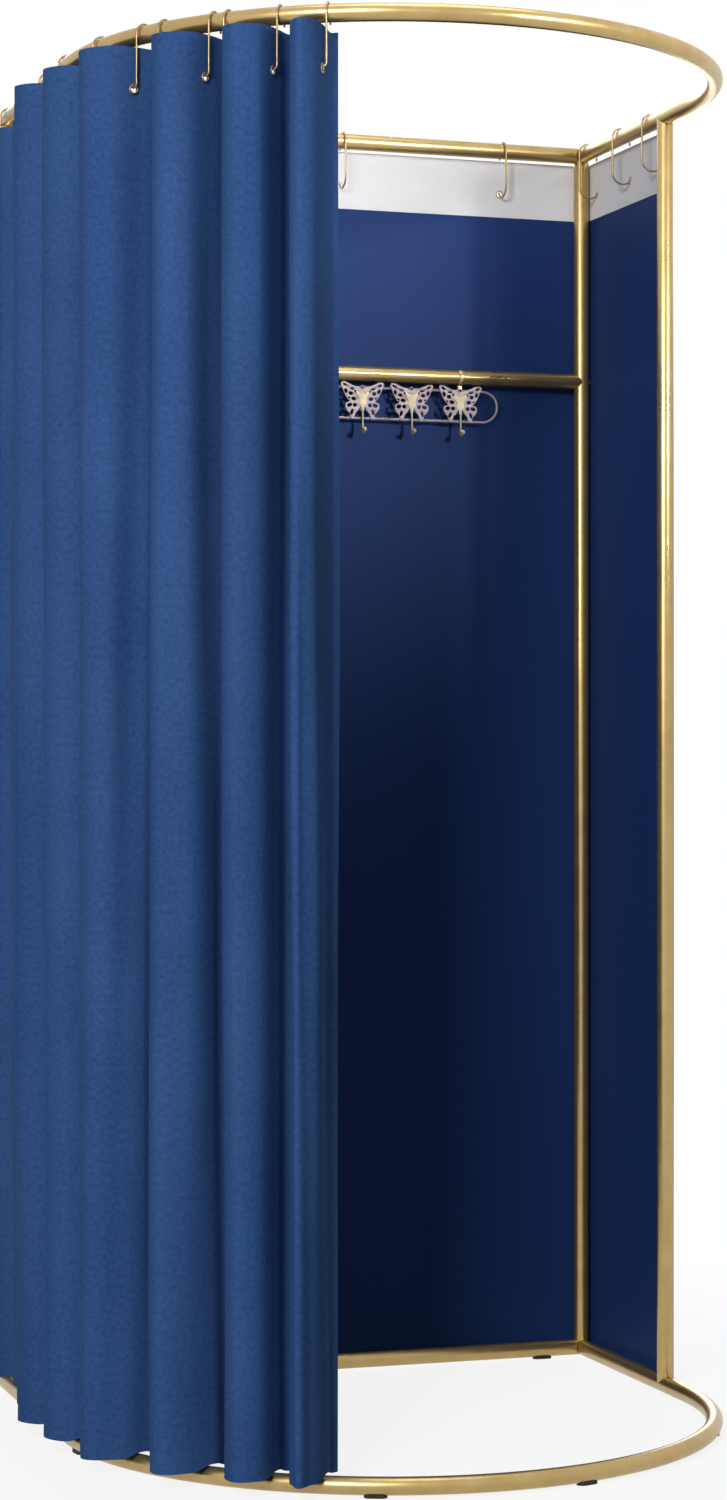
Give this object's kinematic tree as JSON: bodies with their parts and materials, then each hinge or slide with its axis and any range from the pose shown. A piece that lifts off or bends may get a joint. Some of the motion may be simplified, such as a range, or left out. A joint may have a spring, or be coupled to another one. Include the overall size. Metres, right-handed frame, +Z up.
{
  "type": "portable fitting room",
  "caption": "Free-standing changing cubicle: a tube frame with a rounded front, a sliding gathered curtain, flat cloth walls and an openwork coat rack.",
  "frame": {"origin": "middle of the whole outline in plan, at the level of the floor", "axes": "+X to the right as seen from the doorway, +Y to the back wall, +Z up; the doorway faces -Y"},
  "size_m": [1.0504, 0.941, 2.0063],
  "materials": {
    "frame": "polished gold-coloured plating",
    "wire_hook": "bright drawn wire",
    "rack": "polished rose-gold plating",
    "screw": "plated",
    "corner_plug": "moulded",
    "pad": "matt",
    "curtain": "plain woven, soft sheen",
    "liner": "plain woven",
    "header": "plain woven interlining"
  },
  "bodies": {
    "frame": {"floor_left_corner_plug": "corner_plug", "floor_right_corner_plug": "corner_plug", "floor_bend": "frame", "floor_back_rail": "frame", "top_left_corner_plug": "corner_plug", "top_right_corner_plug": "corner_plug", "top_bend": "frame", "top_back_rail": "frame", "left_back_post": "frame", "left_front_post": "frame", "right_back_post": "frame", "right_front_post": "frame", "mid_rail_left_screw": "screw", "mid_rail_right_screw": "screw", "mid_rail": "frame", "floor_pad_1": "pad", "floor_pad_2": "pad", "floor_pad_3": "pad", "floor_pad_4": "pad", "back_pad_left": "pad", "back_pad_right": "pad", "back_liner_hook_1": "wire_hook", "back_liner_hook_2": "wire_hook", "back_liner_hook_3": "wire_hook", "back_liner_hook_4": "wire_hook", "side_liner_hook_1": "wire_hook", "side_liner_hook_2": "wire_hook", "side_liner_hook_3": "wire_hook", "back_header": "header", "side_header": "header", "back_liner": "liner", "side_liner": "liner", "corner_hook": "wire_hook", "side_hook_1": "wire_hook", "side_hook_2": "wire_hook", "side_hook_3": "wire_hook", "curtain_side_folds": "curtain", "rack_frame": "rack", "butterfly_hook_1": "rack", "butterfly_hook_2": "rack", "butterfly_hook_3": "rack", "butterfly_hook_4": "rack", "butterfly_hook_5": "rack", "butterfly_hook_6": "rack", "butterfly_hook_7": "rack"},
    "curtain_1": {"curtain_hook_1": "wire_hook", "curtain_fold_1": "curtain"},
    "curtain_2": {"curtain_hook_2": "wire_hook", "curtain_fold_2": "curtain"},
    "curtain_3": {"curtain_hook_3": "wire_hook", "curtain_fold_3": "curtain"},
    "curtain_4": {"curtain_hook_4": "wire_hook", "curtain_fold_4": "curtain"},
    "curtain_5": {"curtain_hook_5": "wire_hook", "curtain_fold_5": "curtain"},
    "curtain_6": {"curtain_hook_6": "wire_hook", "curtain_fold_6": "curtain"},
    "curtain_7": {"curtain_hook_7": "wire_hook", "curtain_fold_7": "curtain"}
  },
  "joints": [
    {"name": "curtain_travel_1", "type": "hinge", "parent": "frame", "child": "curtain_1", "pos_m": [0.02155, 0.02623, 1.96], "axis": [0, 0, 1], "range_deg": [0, 22]},
    {"name": "curtain_travel_2", "type": "hinge", "parent": "curtain_1", "child": "curtain_2", "pos_m": [0.02155, 0.02623, 1.96], "axis": [0, 0, 1], "range_deg": [0, 14.4]},
    {"name": "curtain_travel_3", "type": "hinge", "parent": "curtain_2", "child": "curtain_3", "pos_m": [0.02155, 0.02623, 1.96], "axis": [0, 0, 1], "range_deg": [0, 10.2]},
    {"name": "curtain_travel_4", "type": "hinge", "parent": "curtain_3", "child": "curtain_4", "pos_m": [0.02155, 0.02623, 1.96], "axis": [0, 0, 1], "range_deg": [0, 14.6]},
    {"name": "curtain_travel_5", "type": "hinge", "parent": "curtain_4", "child": "curtain_5", "pos_m": [0.02155, 0.02623, 1.96], "axis": [0, 0, 1], "range_deg": [0, 10.6]},
    {"name": "curtain_travel_6", "type": "hinge", "parent": "curtain_5", "child": "curtain_6", "pos_m": [0.02155, 0.02623, 1.96], "axis": [0, 0, 1], "range_deg": [0, 14.6]},
    {"name": "curtain_travel_7", "type": "hinge", "parent": "curtain_6", "child": "curtain_7", "pos_m": [0.02155, 0.02623, 1.96], "axis": [0, 0, 1], "range_deg": [0, 28.6]}
  ],
  "couplings": [
    {"joint": "curtain_travel_2", "follows": "curtain_travel_1", "ratio": 0.65455},
    {"joint": "curtain_travel_3", "follows": "curtain_travel_1", "ratio": 0.46364},
    {"joint": "curtain_travel_4", "follows": "curtain_travel_1", "ratio": 0.66364},
    {"joint": "curtain_travel_5", "follows": "curtain_travel_1", "ratio": 0.48182},
    {"joint": "curtain_travel_6", "follows": "curtain_travel_1", "ratio": 0.66364},
    {"joint": "curtain_travel_7", "follows": "curtain_travel_1", "ratio": 1.3}
  ]
}
